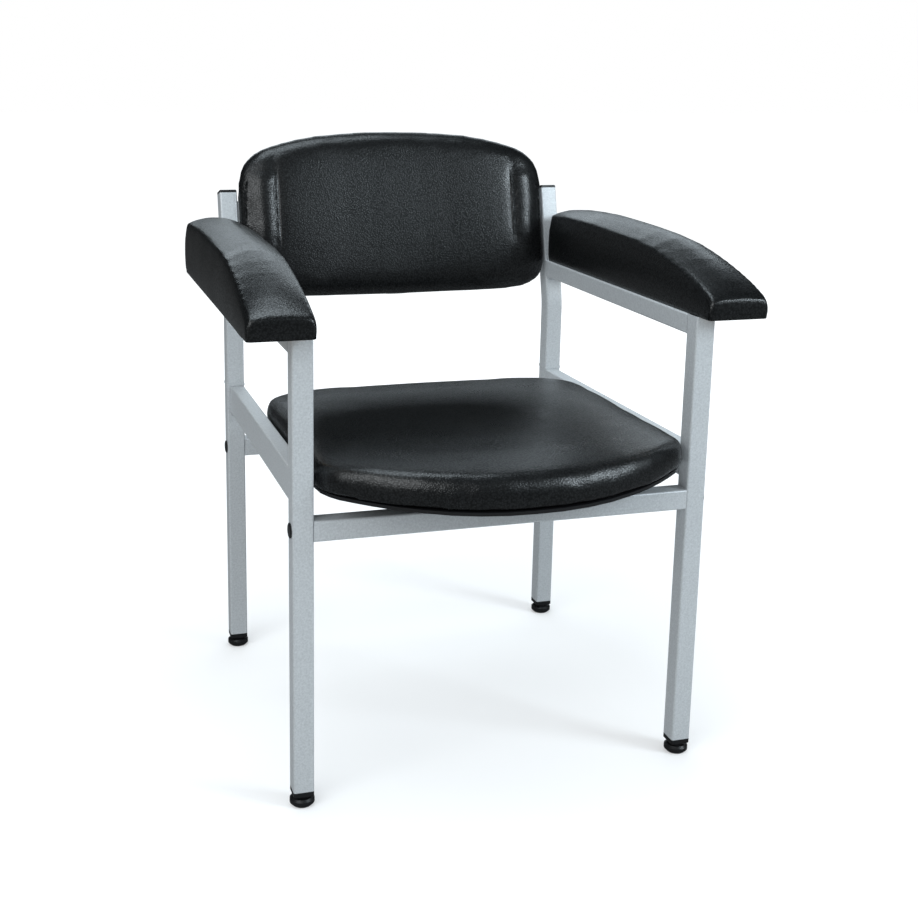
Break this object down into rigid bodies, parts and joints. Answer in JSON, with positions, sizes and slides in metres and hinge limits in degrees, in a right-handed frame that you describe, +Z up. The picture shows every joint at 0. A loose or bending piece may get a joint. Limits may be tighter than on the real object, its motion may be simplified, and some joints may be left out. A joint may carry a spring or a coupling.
{
  "type": "phlebotomy chair",
  "caption": "Blood-drawing chair: silver square-tube frame, black padded seat and backrest, wide arm pads that slope down to the front, screw-adjustable levelling feet.",
  "frame": {"origin": "on the floor, at the bottom centre of the chair's bounding box", "axes": "+Z up, +X towards the sitter's left, -Y the way that the sitter faces"},
  "size_m": [0.634, 0.6578, 0.7665],
  "materials": {
    "silver_powder_coat": "satin silver-grey powder coat",
    "black_leatherette": "black leatherette with a fine grain and a soft sheen",
    "black_plastic": "black moulded plastic with a light texture",
    "plywood": "bare plywood",
    "zinc_steel": "zinc-plated steel"
  },
  "bodies": {
    "root": {"front_leg_right": "silver_powder_coat", "front_leg_left": "silver_powder_coat", "rear_leg_right": "silver_powder_coat", "rear_leg_left": "silver_powder_coat", "upright_right": "silver_powder_coat", "upright_left": "silver_powder_coat", "seat_rail_right": "silver_powder_coat", "seat_rail_left": "silver_powder_coat", "arm_rail_right": "silver_powder_coat", "arm_rail_left": "silver_powder_coat", "front_cross_rail": "silver_powder_coat", "rear_cross_rail": "silver_powder_coat", "weld_beads": "silver_powder_coat", "seat_lugs": "silver_powder_coat", "back_bracket_right": "silver_powder_coat", "back_bracket_left": "silver_powder_coat", "upright_cap_right": "black_plastic", "upright_cap_left": "black_plastic", "bolt_caps": "black_plastic", "foot_inserts": "black_plastic", "seat_shell": "black_plastic", "back_shell": "black_plastic", "rail_end_blocks": "zinc_steel", "rail_bolts": "zinc_steel", "seat_tee_nuts": "zinc_steel", "seat_screws": "zinc_steel", "back_screws": "zinc_steel", "arm_tee_nuts": "zinc_steel", "arm_screws": "zinc_steel", "foot_nuts": "zinc_steel", "seat_board": "plywood", "back_board": "plywood", "arm_board_right": "plywood", "arm_board_left": "plywood", "seat_cushion": "black_leatherette", "back_cushion": "black_leatherette", "arm_cushion_right": "black_leatherette", "arm_cushion_left": "black_leatherette"},
    "pad_front_right": {"foot_pad_front_right": "black_plastic"},
    "stud_front_right": {"foot_stud_front_right": "black_plastic"},
    "pad_front_left": {"foot_pad_front_left": "black_plastic"},
    "stud_front_left": {"foot_stud_front_left": "black_plastic"},
    "pad_rear_right": {"foot_pad_rear_right": "black_plastic"},
    "stud_rear_right": {"foot_stud_rear_right": "black_plastic"},
    "pad_rear_left": {"foot_pad_rear_left": "black_plastic"},
    "stud_rear_left": {"foot_stud_rear_left": "black_plastic"}
  },
  "joints": [
    {"name": "level_front_right", "type": "slide", "parent": "root", "child": "pad_front_right", "axis": [0, 0, -1], "range_m": [-0.001, 0.015]},
    {"name": "turn_front_right", "type": "hinge", "parent": "pad_front_right", "child": "stud_front_right", "pos_m": [-0.2475, -0.22128, 0.006], "axis": [0, 0, -1], "range_deg": [-300, 4330]},
    {"name": "level_front_left", "type": "slide", "parent": "root", "child": "pad_front_left", "axis": [0, 0, -1], "range_m": [-0.001, 0.015]},
    {"name": "turn_front_left", "type": "hinge", "parent": "pad_front_left", "child": "stud_front_left", "pos_m": [0.2475, -0.22128, 0.006], "axis": [0, 0, -1], "range_deg": [-300, 4330]},
    {"name": "level_rear_right", "type": "slide", "parent": "root", "child": "pad_rear_right", "axis": [0, 0, -1], "range_m": [-0.001, 0.015]},
    {"name": "turn_rear_right", "type": "hinge", "parent": "pad_rear_right", "child": "stud_rear_right", "pos_m": [-0.2475, 0.24372, 0.006], "axis": [0, 0, -1], "range_deg": [-300, 4330]},
    {"name": "level_rear_left", "type": "slide", "parent": "root", "child": "pad_rear_left", "axis": [0, 0, -1], "range_m": [-0.001, 0.015]},
    {"name": "turn_rear_left", "type": "hinge", "parent": "pad_rear_left", "child": "stud_rear_left", "pos_m": [0.2475, 0.24372, 0.006], "axis": [0, 0, -1], "range_deg": [-300, 4330]}
  ],
  "couplings": [
    {"joint": "turn_front_right", "follows": "level_front_right", "rad_per_m": 5026.5},
    {"joint": "turn_front_left", "follows": "level_front_left", "rad_per_m": 5026.5},
    {"joint": "turn_rear_right", "follows": "level_rear_right", "rad_per_m": 5026.5},
    {"joint": "turn_rear_left", "follows": "level_rear_left", "rad_per_m": 5026.5}
  ]
}
